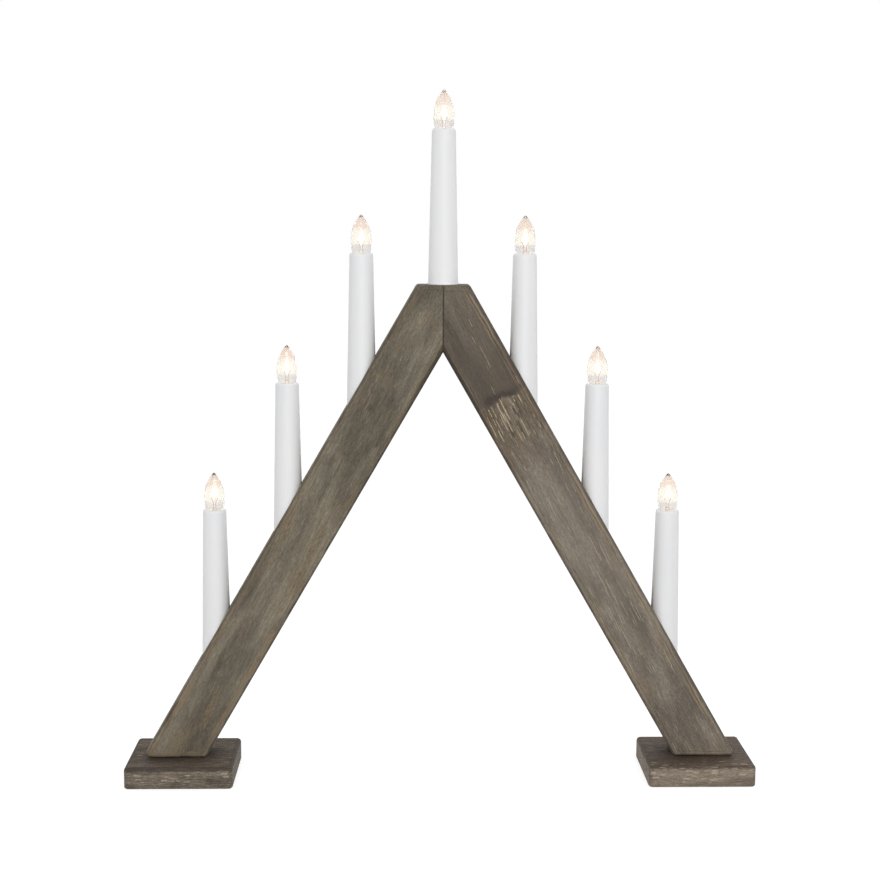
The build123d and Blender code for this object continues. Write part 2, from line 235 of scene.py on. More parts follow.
def stretched(tree, place, length, width, detail=2.0, roughness=0.5, distortion=0.0):
    """Noise whose features have a length along X and a width across it."""
    along, across = math(tree, "DIVIDE", 1.0, length), math(tree, "DIVIDE", 1.0, width)
    return noise(tree, place, combine(tree, along, across, across), detail, roughness, distortion)


def blend(tree, amount, first, second, blend_type="MIX"):
    """Two colours mixed by an amount."""
    settings = {0: amount, 6: first, 7: second}
    return add(tree, "ShaderNodeMix", settings, data_type="RGBA", blend_type=blend_type).outputs[2]


# stained grain: clouds of stain, warmer where it is thin, over short strokes of grain along X
stained_grain, given, made = group(
    "stained grain",
    [
        ("Place", "v", (0, 0, 0)),
        ("Light stain", "c", colour(128, 120, 105)),
        ("Dark stain", "c", colour(92, 82, 70)),
        ("Warm stain", "c", colour(118, 100, 76)),
        ("Cloud length", "f", 0.06),
        ("Stroke length", "f", 0.0035),
        ("Stroke width", "f", 0.0008),
        ("Contrast", "f", 0.12),
    ],
    [("Colour", "c"), ("Roughness", "f"), ("Height", "f")],
)
tree, place = stained_grain, given["Place"]
cloud_width = product(tree, given["Cloud length"], 0.22)
clouds = stretched(tree, place, given["Cloud length"], cloud_width, distortion=0.8)
spots = stretched(tree, place, 18 * mm, 5 * mm, detail=3.0, roughness=0.6)
tone = math(tree, "ADD", ramp(tree, clouds, 0.34, 0.66, 0.0, 0.7), ramp(tree, spots, 0.32, 0.68, 0.0, 0.3))
stain = blend(tree, tone, given["Dark stain"], given["Light stain"])
warmth = stretched(tree, place, 46 * mm, 13 * mm, detail=3.0, roughness=0.55, distortion=0.4)
stain = blend(tree, ramp(tree, warmth, 0.5, 0.68, 0.0, 0.7), stain, given["Warm stain"])
strokes = stretched(tree, place, given["Stroke length"], given["Stroke width"], detail=3.0, roughness=0.6)
lines = stretched(tree, place, 16 * mm, 0.9 * mm, detail=3.0, roughness=0.6)
speckle = noise(tree, place, (1000, 1000, 1000))
grain = math(tree, "ADD", ramp(tree, strokes, 0.34, 0.66, -1, 1), ramp(tree, lines, 0.36, 0.64, -0.6, 0.6))
grain = math(tree, "ADD", grain, ramp(tree, speckle, 0.35, 0.65, -0.5, 0.5))
connect(tree, made, {
    "Colour": scaled(tree, stain, math(tree, "MULTIPLY_ADD", grain, given["Contrast"], 1.0)),
    "Roughness": ramp(tree, grain, -1.5, 1.5, 0.76, 0.56),
    "Height": product(tree, grain, 0.4),
})

# pale fibres: straight fibres along X that took no stain, each in its own lane, at random
pale_fibres, given, made = group(
    "pale fibres",
    [
        ("Place", "v", (0, 0, 0)),
        ("Length", "f", 0.02),
        ("Spacing", "f", 0.0012),
        ("Width", "f", 0.0004),
        ("Amount", "f", 0.1),
        ("Seed", "f", 1.0),
    ],
    [("Fibre", "f")],
)
tree, place = pale_fibres, given["Place"]


def random_three(tree, first, second, third):
    """Three random numbers that belong to three others."""
    key = combine(tree, first, second, third)
    chance = add(tree, "ShaderNodeTexWhiteNoise", {"Vector": key}, noise_dimensions="3D").outputs["Color"]
    return add(tree, "ShaderNodeSeparateColor", {0: chance}).outputs


x, y, z = separate(tree, place)
sway = stretched(tree, place, product(tree, given["Length"], 0.2), given["Spacing"])
lanes = math(tree, "DIVIDE", math(tree, "ADD", y, z), given["Spacing"])
lanes = math(tree, "ADD", lanes, ramp(tree, sway, 0.3, 0.7, -0.14, 0.14))
lane = math(tree, "FLOOR", lanes)
shift = random_three(tree, lane, 0.5, given["Seed"])[0]
cells = math(tree, "ADD", math(tree, "DIVIDE", x, given["Length"]), product(tree, shift, 31.0))
cell = math(tree, "FLOOR", cells)
chance, size, offset = random_three(tree, lane, cell, given["Seed"])[0:3]
there = math(tree, "LESS_THAN", chance, given["Amount"])
half_reach = math(tree, "MULTIPLY_ADD", size, 0.28, 0.2)
past_end = math(tree, "SUBTRACT", apart(tree, math(tree, "FRACT", cells), 0.5), half_reach)
within = fade(tree, past_end, -0.12, 0.0)
middle = math(tree, "MULTIPLY_ADD", offset, 0.4, 0.3)
aside = apart(tree, math(tree, "FRACT", lanes), middle)
from_line = math(tree, "DIVIDE", product(tree, aside, given["Spacing"]), given["Width"])
line = fade(tree, from_line, 0.25, 0.75)
strength = ramp(tree, size, 0.0, 1.0, 0.35, 1.0)
broken = ramp(tree, noise(tree, place, (900, 2400, 2400)), 0.35, 0.6, 0.45, 1.0)
connect(tree, made, {"Fibre": product(tree, there, within, line, strength, broken)})

# worn edges: a dark outline along the outside of each rounding, part stain gathered there and part painted
# shade where the rounding turns away from the light, and the stain worn thin on its inner side
worn_edges, given, made = group(
    "worn edges",
    [
        ("Place", "v", (0, 0, 0)),
        ("Half size", "v", (0.02, 0.01, 0.1)),
        ("Rounding", "f", 0.003),
        ("Strip place", "f", 0.0),
        ("Strip fade", "f", 1.15),
        ("Strip end", "f", 2.1),
    ],
    [("Rounded", "f"), ("Outline", "f"), ("Worn strip", "f"), ("Dark line", "f")],
)
tree, place = worn_edges, given["Place"]
a, b, c = separate(tree, vector(tree, "SUBTRACT", given["Half size"], vector(tree, "ABSOLUTE", place)))
lesser, greater = math(tree, "MINIMUM", a, b), math(tree, "MAXIMUM", a, b)
from_edge = math(tree, "MAXIMUM", lesser, math(tree, "MINIMUM", greater, c))
wander = ramp(tree, noise(tree, place, (220, 220, 90), detail=3.0), 0.3, 0.7, -0.12, 0.12)
share = math(tree, "ADD", math(tree, "DIVIDE", from_edge, given["Rounding"]), wander)
connect(tree, made, {"Rounded": fade(tree, share, 0.9, 1.1), "Outline": fade(tree, share, 0.28, 0.56)})
share = math(tree, "SUBTRACT", share, given["Strip place"])
patchy = ramp(tree, noise(tree, place, (90, 90, 40), detail=4.0), 0.4, 0.62, 0.25, 1.0)
first = between(tree, share, 0.52, 0.72, given["Strip fade"], given["Strip end"])
second = product(tree, between(tree, share, 1.3, 1.45, 1.5, 1.9), 0.55)
connect(tree, made, {
    "Worn strip": product(tree, math(tree, "ADD", first, second), patchy),
    "Dark line": between(tree, share, 1.08, 1.2, 1.24, 1.4),
})


def fresh_material(name):
    """A material with only its shader and output, what its finish hangs on, and its coordinates."""
    material = bpy.data.materials.new(name)
    material.use_nodes = True
    tree = material.node_tree
    tree.nodes.clear()
    shader = add(tree, "ShaderNodeBsdfPrincipled")
    add(tree, "ShaderNodeOutputMaterial", {"Surface": shader.outputs[0]})
    return material, tree, shader.inputs, add(tree, "ShaderNodeTexCoord").outputs["Object"]


def bump(tree, height, strength, depth):
    """A normal from a height."""
    settings = {"Height": height, "Strength": strength, "Distance": depth}
    return add(tree, "ShaderNodeBump", settings).outputs[0]


def finish(piece, material):
    """Gives every slot of a piece one material."""
    piece.data.materials.clear()
    piece.data.materials.append(material)


lean = radians(30)
arch_height, top_flat_half = 340 * mm, 17.5 * mm
plank_half_width, plank_half_thickness = 18.75 * mm, 12 * mm
plank_mid_height, plank_half_height = 177.5 * mm, 162.5 * mm
plank_rounding = 2.8 * mm
# each plank's stain, and its pale fibres: their colour, and the amounts of long and of short ones
stains = {
    "left": {
        "Light stain": colour(132, 124, 107), "Dark stain": colour(88, 80, 68),
        "Warm stain": colour(120, 105, 83), "Cloud length": 85 * mm, "Contrast": 0.16,
    },
    "right": {
        "Light stain": colour(135, 126, 112), "Dark stain": colour(86, 77, 67),
        "Warm stain": colour(124, 109, 90), "Cloud length": 62 * mm, "Contrast": 0.2,
    },
}
fibre_colours = {"left": colour(160, 147, 124), "right": colour(190, 174, 148)}
fibre_amounts = {"left": (0.03, 0.08), "right": (0.08, 0.08)}
# the worn line: its place in shares of the rounding, its colour, its strengths on the inner and the
# outer edge, and what is left of it higher up. Then the strengths of the dark outline, part stain and part
# painted shade, on both edges.
strips = {
    "left": {"Strip place": 0.0, "Strip fade": 1.15, "Strip end": 2.1},
    "right": {"Strip place": 0.2, "Strip fade": 0.85, "Strip end": 1.12},
}
strip_colours = {"left": colour(146, 124, 96), "right": colour(158, 138, 110)}
strip_strengths = {"left": (0.45, 0.45), "right": (0.3, 0.85)}
strip_tops = {"left": 0.45, "right": 1.0}
stain_and_shade_outline_strengths = {"left": (0.75, 0.5), "right": (0.75, 0.6)}


def plank_wood(word, side, twist, knot_distance=None):
    """The stained wood of one plank, whose grain runs along it, a few degrees off its edges."""
    material, tree, shader, place = fresh_material(f"{word} plank wood")
    top_middle = (side * (top_flat_half - plank_half_width / cos(lean)), 0, arch_height)
    along = turned(tree, vector(tree, "SUBTRACT", place, top_middle), side * (lean - pi / 2))
    grain = turned(tree, along, twist)
    distance, _, across = separate(tree, along)
    from_mitre, depth, height = separate(tree, place)

    def inner_to_outer(inner, outer):
        """A value that goes over from the plank's inner half to its outer one."""
        return ramp(tree, across, -5 * mm, 5 * mm, inner, outer)

    wood = use(tree, stained_grain, {"Place": grain, **stains[word]})
    surface = wood["Colour"]
    clusters = ramp(tree, stretched(tree, grain, 40 * mm, 12 * mm), 0.4, 0.62, 0.25, 1.6)
    long_amount, short_amount = (product(tree, clusters, share) for share in fibre_amounts[word])
    fibre_width, fibre_strength = 0.36 * mm, 0.8
    if knot_distance:
        # a knot's edge: wood that took more stain above it, a dark band, and open fibres below it
        wave = noise(tree, along, (30, 70, 30))
        edge = ramp(tree, wave, 0.3, 0.7, knot_distance - 4 * mm, knot_distance + 4 * mm)
        off = math(tree, "SUBTRACT", distance, edge)
        darker = ramp(tree, off, -75 * mm, -5 * mm, 0.52, 0.78)
        above = product(tree, darker, fade(tree, off, -1 * mm, 1 * mm))
        surface = blend(tree, above, surface, colour(84, 75, 65))
        band = between(tree, off, -6 * mm, -0.8 * mm, 0.4 * mm, 2.4 * mm)
        inside = ramp(tree, apart(tree, across), 7 * mm, 16 * mm, 1.0, 0.1)
        surface = blend(tree, product(tree, band, inside, 0.8), surface, colour(60, 50, 46))
        below = between(tree, off, 0.5 * mm, 2.5 * mm, 26 * mm, 54 * mm)
        surface = blend(tree, product(tree, below, 0.45), surface, colour(104, 89, 71))
        streaks = stretched(tree, grain, 15 * mm, 1.1 * mm, detail=3.0, roughness=0.6)
        streaks = product(tree, below, ramp(tree, streaks, 0.48, 0.62, 0.0, 0.75))
        surface = blend(tree, streaks, surface, colour(66, 55, 44))
        # a second patch of open fibres, nearer to the foot
        patch_distance, patch_across = 237 * mm, 3 * mm
        along_patch = fade(tree, apart(tree, distance, patch_distance), 22 * mm, 38 * mm)
        patch = product(tree, along_patch, fade(tree, apart(tree, across, patch_across), 6 * mm, 11 * mm))
        not_above = math(tree, "SUBTRACT", 1.0, above)
        long_amount, short_amount = (
            math(tree, "MULTIPLY_ADD", below, more, product(tree, amount, not_above))
            for amount, more in ((long_amount, 0.42), (short_amount, 0.07))
        )
        long_amount = math(tree, "MULTIPLY_ADD", patch, 0.34, long_amount)
        fibre_width = math(tree, "MULTIPLY_ADD", below, 0.34 * mm, fibre_width)
        fibre_strength = math(tree, "MULTIPLY_ADD", below, 0.5, fibre_strength)
        # paler wood between the two patches
        past_knot = ramp(tree, off, 30 * mm, 80 * mm)
        paler = product(tree, past_knot, ramp(tree, off, 150 * mm, 230 * mm, 0.35, 0.12))
        surface = blend(tree, paler, surface, colour(142, 133, 120))
    long_fibres = use(tree, pale_fibres, {
        "Place": grain, "Length": 24 * mm, "Spacing": 1.4 * mm, "Width": fibre_width, "Amount": long_amount,
    })["Fibre"]
    short_fibres = use(tree, pale_fibres, {
        "Place": grain, "Length": 7 * mm, "Spacing": 0.8 * mm, "Width": 0.38 * mm, "Amount": short_amount,
        "Seed": 7.0,
    })["Fibre"]
    fibres = math(tree, "MAXIMUM", long_fibres, product(tree, short_fibres, 0.8))
    edges = use(tree, worn_edges, {
        "Place": combine(tree, across, depth, math(tree, "SUBTRACT", height, plank_mid_height)),
        "Half size": (plank_half_width, plank_half_thickness, plank_half_height),
        "Rounding": plank_rounding, **strips[word],
    })
    on_face = math(tree, "SUBTRACT", 1.0, edges["Rounded"])
    surface = blend(tree, product(tree, fibres, on_face, fibre_strength), surface, fibre_colours[word])
    surface = blend(tree, product(tree, edges["Dark line"], 0.4), surface, colour(74, 64, 54))
    # the worn line and the outline change with the height, and fade at the flat top
    upward = ramp(tree, height, 60 * mm, 150 * mm, 1.0, strip_tops[word])
    below_top = ramp(tree, height, 332 * mm, 336 * mm, 1.0, 0.25)
    worn = product(tree, edges["Worn strip"], inner_to_outer(*strip_strengths[word]), upward, below_top)
    surface = blend(tree, worn, surface, strip_colours[word])
    below_top = ramp(tree, height, 331 * mm, 337 * mm, 1.0, 0.35)
    # the outline is part stain and part painted shade, darkest where the rounding turns away from the light
    outline = product(tree, edges["Outline"], inner_to_outer(*stain_and_shade_outline_strengths[word]), below_top)
    surface = blend(tree, outline, surface, colour(62, 53, 43))
    # painted shade along the inner edges, up where the planks meet, and stain gathered in the mitre
    near_notch = ramp(tree, height, 215 * mm, 285 * mm, 0.0, 0.75)
    painted_shade_by_notch = product(tree, near_notch, inner_to_outer(1.0, 0.0), edges["Rounded"])
    surface = blend(tree, painted_shade_by_notch, surface, colour(52, 44, 36))
    at_mitre = ramp(tree, apart(tree, from_mitre), 0.3 * mm, 0.9 * mm, 0.6, 0.0)
    surface = blend(tree, at_mitre, surface, colour(56, 48, 40))
    connect(tree, shader, {
        "Base Color": surface, "Roughness": wood["Roughness"], "Specular IOR Level": 0.3,
        "Normal": bump(tree, wood["Height"], strength=0.4, depth=0.4 * mm),
    })
    return material


for word, plank in {
    "left": plank_wood("left", side=-1, twist=radians(4)),
    "right": plank_wood("right", side=1, twist=radians(-3), knot_distance=84 * mm),
}.items():
    finish(nodes[f"{word}_leg"], plank)
    finish(nodes[f"{word}_groove_cover"], plank)


# The feet: two blocks of the same stained wood, sanded less, with the grain from left to right.
# Their tops are darker, part stain and part painted shade, their upper edges took more stain, and torn fibres
# on the sawn sides show pale.

# each foot's stain, its fibres (amount, length, width), the tint of its top, part stain and part painted
# shade, and the stain on its edges
foot_stains = {
    "left": {
        "Light stain": colour(132, 121, 106), "Dark stain": colour(92, 83, 73),
        "Warm stain": colour(120, 106, 88), "Cloud length": 40 * mm, "Contrast": 0.32,
        "Stroke length": 5 * mm, "Stroke width": 0.6 * mm,
    },
    "right": {
        "Light stain": colour(150, 136, 121), "Dark stain": colour(116, 103, 91),
        "Warm stain": colour(140, 123, 105), "Cloud length": 44 * mm, "Contrast": 0.16,
    },
}
foot_fibres = {"left": (0.18, 5 * mm, 0.5 * mm), "right": (0.13, 6 * mm, 0.8 * mm)}
foot_top_stain_and_shade = {"left": colour(186, 176, 168), "right": colour(158, 148, 140)}
foot_edge_stains = {"left": 0.75, "right": 0.3}
foot_middle, foot_height = 178.49 * mm, 15 * mm
foot_half_length, foot_half_depth, foot_rounding = 36.65 * mm, 30.5 * mm, 2.6 * mm
plank_end_half_length = plank_half_width / cos(lean)


def foot_wood(word, middle):
    """The stained wood of one foot, darker on top and rougher in front."""
    material, tree, shader, place = fresh_material(f"{word} foot wood")
    centred = vector(tree, "SUBTRACT", place, (middle, 0, foot_height / 2))
    wood = use(tree, stained_grain, {"Place": centred, **foot_stains[word]})
    height = separate(tree, place)[2]
    on_top = ramp(tree, height, foot_height - 2.4 * mm, foot_height - 0.9 * mm)
    # the darker top: part stain, part painted shade
    top_stain_and_shade = product(tree, on_top, 0.85)
    surface = blend(tree, top_stain_and_shade, wood["Colour"], foot_top_stain_and_shade[word], blend_type="MULTIPLY")
    from_middle, depth, level = separate(tree, centred)
    amount, length, width = foot_fibres[word]
    amount = product(tree, ramp(tree, on_top, 0.0, 1.0, 1.0, 0.15), amount)
    if word == "right":
        # fibres torn out along the front top edge
        front = fade(tree, depth, -foot_half_depth, 12 * mm - foot_half_depth)
        torn = product(tree, front, ramp(tree, height, 5 * mm, 12 * mm))
        amount = math(tree, "MULTIPLY_ADD", torn, 0.3, amount)
    fibres = use(tree, pale_fibres, {
        "Place": centred, "Length": length, "Spacing": 0.95 * mm, "Width": width, "Amount": amount,
    })["Fibre"]
    # the sawn ends show growth rings instead of fibres
    on_side = fade(tree, apart(tree, from_middle), foot_half_length - 1.4 * mm, foot_half_length - 0.5 * mm)
    pith, ring_width = (0, -9 * mm, -34 * mm), 2.3 * mm
    from_pith = vector(tree, "SUBTRACT", combine(tree, 0.0, depth, level), pith)
    waver = ramp(tree, noise(tree, centred, (20, 70, 70)), 0.3, 0.7, -1.5 * mm, 1.5 * mm)
    radius = math(tree, "ADD", vector(tree, "LENGTH", from_pith), waver)
    ring = math(tree, "FRACT", math(tree, "DIVIDE", radius, ring_width))
    late_wood = between(tree, ring, 0.35, 0.9, 0.94, 1.0)
    end_grain = product(tree, math(tree, "SUBTRACT", 1.0, on_side), late_wood, 0.4)
    surface = blend(tree, end_grain, surface, colour(74, 65, 57))
    surface = blend(tree, product(tree, fibres, on_side, 0.9), surface, colour(202, 186, 162))
    # dark streaks on top, where the stain sank in
    streaks = use(tree, pale_fibres, {
        "Place": centred, "Length": 13 * mm, "Spacing": 1.3 * mm, "Width": 0.9 * mm, "Amount": 0.5,
        "Seed": 3.0,
    })["Fibre"]
    surface = blend(tree, product(tree, streaks, on_top, 0.6), surface, colour(56, 48, 41))
    edges = use(tree, worn_edges, {
        "Place": centred, "Half size": (foot_half_length, foot_half_depth, foot_height / 2),
        "Rounding": foot_rounding,
    })
    upper = ramp(tree, height, foot_height - 4 * mm, foot_height - 2.6 * mm, 0.15, foot_edge_stains[word])
    surface = blend(tree, product(tree, edges["Rounded"], upper), surface, colour(66, 57, 50))
    # painted contact shadow on top, round the end of the plank
    plank_end = (plank_end_half_length, plank_half_thickness, 1)
    beside = vector(tree, "SUBTRACT", vector(tree, "ABSOLUTE", centred), plank_end)
    gap = vector(tree, "LENGTH", vector(tree, "MAXIMUM", beside))
    painted_contact_shadow = product(tree, ramp(tree, gap, 1 * mm, 8 * mm, 0.5, 0.0), on_top)
    surface = blend(tree, painted_contact_shadow, surface, colour(60, 52, 45))
    connect(tree, shader, {
        "Base Color": surface, "Roughness": wood["Roughness"], "Specular IOR Level": 0.3,
        "Normal": bump(tree, wood["Height"], strength=0.5, depth=0.5 * mm),
    })
    return material


finish(nodes["left_foot"], foot_wood("left", -foot_middle))
finish(nodes["right_foot"], foot_wood("right", foot_middle))


# The dowels in the mitre: two lengths of beech, glued in, out of sight once the arch is together.
# Beech is pale and even, with short darker flecks along its grain.

beech, tree, shader, place = fresh_material("beech")
grain = noise(tree, place, (40, 900, 900), detail=3.0)
flecks = ramp(tree, noise(tree, place, (260, 2600, 2600)), 0.66, 0.72, 0.0, 0.5)
pale = blend(tree, ramp(tree, grain, 0.3, 0.7), colour(206, 172, 130), colour(226, 196, 156))
connect(tree, shader, {
    "Base Color": blend(tree, flecks, pale, colour(158, 116, 78)),
    "Roughness": ramp(tree, grain, 0.3, 0.7, 0.7, 0.5),
    "Normal": bump(tree, grain, strength=0.3, depth=0.2 * mm),
})
finish(nodes["mitre_dowels"], beech)


# The candle tubes: moulded in white plastic, tapered, hollow, with a rounded mouth. Each has a
# spigot that plugs into the wood, and sits flush on it. Only the one on top has a thin lip.

def ring_mesh(name, rings, sides, axis_x, zero, loop=False):
    """A closed mesh round an upright axis, from rings of (radius, height) or of functions of the turn.
    Its UV map holds each point's radius and height."""
    work = bmesh.new()
    rows = []
    for radius, height in rings:
        if radius == 0:
            rows.append([work.verts.new((axis_x, 0, zero + height))])
            continue
        row = []
        for step in range(sides):
            turn = 2 * pi * step / sides
            r = radius(turn) if callable(radius) else radius
            z = height(turn) if callable(height) else height
            row.append(work.verts.new((axis_x + r * cos(turn), r * sin(turn), zero + z)))
        rows.append(row)
    pairs = list(zip(rows, rows[1:])) + ([(rows[-1], rows[0])] if loop else [])
    for low, high in pairs:
        for step in range(sides):
            after = (step + 1) % sides
            if len(low) == 1 and len(high) > 1:
                work.faces.new((low[0], high[after], high[step]))
            elif len(high) == 1 and len(low) > 1:
                work.faces.new((low[step], low[after], high[0]))
            elif len(low) > 1:
                work.faces.new((low[step], low[after], high[after], high[step]))
    bmesh.ops.recalc_face_normals(work, faces=work.faces)
    layer = work.loops.layers.uv.new("radius and height")
    for face in work.faces:
        for corner in face.loops:
            point = corner.vert.co
            corner[layer].uv = (hypot(point.x - axis_x, point.y), point.z - zero)
    mesh = bpy.data.meshes.new(name)
    work.to_mesh(mesh)
    work.free()
    return new_object(name, mesh)


def radius_and_height(tree):
    """How far each point of a ring mesh is from its axis and above its zero."""
    return separate(tree, add(tree, "ShaderNodeUVMap", uv_map="radius and height").outputs[0])


def smooth(piece, angle):
    """Shades a piece smooth, but for its sharp edges."""
    piece.data.shade_smooth()
    piece.data.set_sharp_from_angle(angle=radians(angle))


def spread(first, last, steps):
    """Values at even steps from one to another."""
    return [first + (last - first) * step / steps for step in range(steps + 1)]


def arc(middle, radius, start, end, steps):
    """Points on an arc, from one angle to another, in degrees."""
    angles = [radians(angle) for angle in spread(start, end, steps)]
    return [(middle[0] + radius * cos(angle), middle[1] + radius * sin(angle)) for angle in angles]


def in_mm(*points):
    """Points given in millimetres."""
    return [tuple(value * mm for value in point) for point in points]


candle_plastic, tree, shader, place = fresh_material("white plastic")
flow = noise(tree, place, (90, 90, 14))
grain = noise(tree, place, (2600, 2600, 2600), detail=1.0)
# painted light: the lit bulb's glow on the inside of the mouth, given as emission
radius, level = radius_and_height(tree)[0:2]
painted_mouth_light = product(tree, fade(tree, radius, 6.5 * mm, 6.6 * mm), ramp(tree, level, -3 * mm, -2.4 * mm))
connect(tree, shader, {
    "Base Color": blend(tree, ramp(tree, flow, 0.3, 0.7), (0.84, 0.845, 0.855, 1), (0.87, 0.87, 0.875, 1)),
    "Roughness": ramp(tree, flow, 0.3, 0.7, 0.34, 0.42),
    "Normal": bump(tree, grain, strength=0.08, depth=0.05 * mm),
    "Subsurface Weight": 0.1,
    "Subsurface Radius": (1, 0.9, 0.8),
    "Subsurface Scale": 1.0 * mm,
    "Emission Color": blend(tree, painted_mouth_light, (0, 0, 0, 1), (0.62, 0.6, 0.57, 1)),
    "Emission Strength": 1.0,
})

tube_top_radius, tube_base_radius, tube_length = 7.85 * mm, 10 * mm, 102 * mm
taper = (tube_base_radius - tube_top_radius) / tube_length
bore_radius, mouth_radius, mouth_depth, mouth_edge = 6.9 * mm, 6.45 * mm, 2.4 * mm, 0.1 * mm
shoulder_round, rim_drop = 2 * mm, 0.08 * mm
shoulder_middle = (tube_top_radius - shoulder_round, rim_drop - shoulder_round)
shoulder = arc(shoulder_middle, shoulder_round, start=0, end=70, steps=8)
spigot_radius, spigot_depth, wire_bore_radius, web = 6 * mm, 6 * mm, 2.5 * mm, 1.5 * mm
lip_radius, lip_height, lip_edge = 10.6 * mm, 1.2 * mm, 0.25 * mm
candles = {}
for number in range(1, 8):
    glass_low, glass_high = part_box(f"bulb_glass_{number}")
    candles[number] = ((glass_low.x + glass_high.x) / 2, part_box(f"candle_tube_{number}")[1].z)

for number, (x, rim) in candles.items():
    side = (number > 4) - (number < 4)
    rise = abs(side) / tan(lean)
    seat = tube_base_radius * rise - tube_length
    spigot_bottom = seat - spigot_radius * rise - spigot_depth

    def down_slope(turn):
        """How much the slope drops away from the axis at a turn."""
        return side * rise * cos(turn)

    def wall(turn):
        """The tapered wall's radius where it meets the slope."""
        return (tube_top_radius - taper * seat) / (1 - taper * down_slope(turn))

    def on_slope(radius, above=0.0):
        """A round ring on the slope, or on a parallel to it that lies higher."""
        return radius, lambda turn: seat + above - down_slope(turn) * radius

    foot_rings = [(wall, lambda turn: seat - down_slope(turn) * wall(turn))]
    if not side:
        lip_top = seat + lip_height
        foot_rings = [
            (lip_radius - lip_edge, seat), (lip_radius, seat + lip_edge), (lip_radius, lip_top - lip_edge),
            (lip_radius - lip_edge, lip_top), (tube_top_radius - taper * lip_top, lip_top),
        ]
    web_rise = web / sin(lean) if side else web
    tube = ring_mesh(f"candle_{number}_tube", [
        on_slope(spigot_radius),
        *foot_rings,
        *[(r + taper * shoulder_round, z) for r, z in shoulder],
        (mouth_radius + mouth_edge / 2, -mouth_edge / 10), (mouth_radius, -mouth_edge),
        (mouth_radius, -mouth_depth), (bore_radius, -mouth_depth),
        on_slope(bore_radius, web_rise), on_slope(wire_bore_radius, web_rise),
        (wire_bore_radius, spigot_bottom), (spigot_radius, spigot_bottom),
    ], sides=96, axis_x=x, zero=rim, loop=True)
    smooth(tube, angle=35)
    finish(tube, candle_plastic)
    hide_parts(f"candle_tube_{number}")
    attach(tube, "frame")


# The lampholders: cups of off-white insulating plastic, pressed up under the mouth of each tube.
# Each holds a brass screw shell, and a brass leaf on its floor that meets the bulb's contact.

holder_plastic, tree, shader, place = fresh_material("lampholder plastic")
speckle = noise(tree, place, (900, 900, 900), detail=3.0)
connect(tree, shader, {
    "Base Color": blend(tree, ramp(tree, speckle, 0.3, 0.7), colour(214, 208, 194), colour(228, 223, 211)),
    "Roughness": ramp(tree, speckle, 0.3, 0.7, 0.5, 0.62),
})

brass, tree, shader, place = fresh_material("brass")
tarnish = noise(tree, place, (420, 420, 420), detail=4.0)
drawn = noise(tree, place, (300, 300, 9000), detail=1.0)
connect(tree, shader, {
    "Base Color": blend(tree, ramp(tree, tarnish, 0.35, 0.7), colour(216, 188, 128), colour(186, 152, 96)),
    "Metallic": 1.0,
    "Roughness": ramp(tree, tarnish, 0.3, 0.7, 0.22, 0.4),
    "Normal": bump(tree, drawn, strength=0.1, depth=0.03 * mm),
})

for number in candles:
    finish(nodes[f"lamp_holder_{number}"], holder_plastic)
finish(nodes["contact_springs"], brass)

# rolled thread: presses a right-handed thread into a shape of rings, its crests left where they were
rolled_thread, given, made = group(
    "rolled thread",
    [
        ("Shape", "g", None),
        ("Axis", "v", (0, 0, 0)),
        ("Pitch", "f", 0.001814),
        ("Depth", "f", 0.00035),
        ("Bottom", "f", -0.014),
        ("Top", "f", -0.006),
        ("Run out", "f", 0.0009),
        ("Sharpness", "f", 1.0),
        ("Finish", "m", None),
    ],
    [("Shape", "g")],
    "GeometryNodeTree",
)
tree = rolled_thread
position = add(tree, "GeometryNodeInputPosition").outputs[0]
x, y, z = separate(tree, vector(tree, "SUBTRACT", position, given["Axis"]))
turns = math(tree, "DIVIDE", math(tree, "ARCTAN2", y, x), 2 * pi)
phase = math(tree, "SUBTRACT", math(tree, "DIVIDE", z, given["Pitch"]), turns)
wave = math(tree, "MULTIPLY_ADD", math(tree, "COSINE", product(tree, phase, 2 * pi)), 0.5, 0.5)
furrow = math(tree, "SUBTRACT", 1.0, math(tree, "POWER", wave, given["Sharpness"]))
full_from = math(tree, "ADD", given["Bottom"], given["Run out"])
full_to = math(tree, "SUBTRACT", given["Top"], given["Run out"])
threaded = between(tree, z, given["Bottom"], full_from, full_to, given["Top"])
pressed = product(tree, threaded, furrow, given["Depth"])
outward = vector(tree, "NORMALIZE", combine(tree, x, y))
inward = scaled(tree, outward, product(tree, pressed, -1.0))
rolled = add(tree, "GeometryNodeSetPosition", {"Geometry": given["Shape"], "Offset": inward}).outputs[0]
real = add(tree, "GeometryNodeRealizeInstances", {"Geometry": rolled}).outputs[0]
coated = add(tree, "GeometryNodeSetMaterial", {"Geometry": real, "Material": given["Finish"]}).outputs[0]
connect(tree, made, {"Shape": coated})


def plain_mesh(thing):
    """The plain mesh that an object comes out as."""
    return bpy.data.meshes.new_from_object(thing.evaluated_get(bpy.context.evaluated_depsgraph_get()))


def follow(piece, rule, **values):
    """Runs a geometry rule on a piece with its inputs set, and keeps the plain mesh that comes out."""
    modifier = piece.modifiers.new(rule.name, "NODES")
    modifier.node_group = rule
    for socket in rule.interface.items_tree:
        word = socket.name.replace(" ", "_").lower()
        if socket.in_out == "INPUT" and word in values:
            modifier[socket.identifier] = values[word]
    shaped = plain_mesh(piece)
    piece.modifiers.clear()
    piece.data = shaped


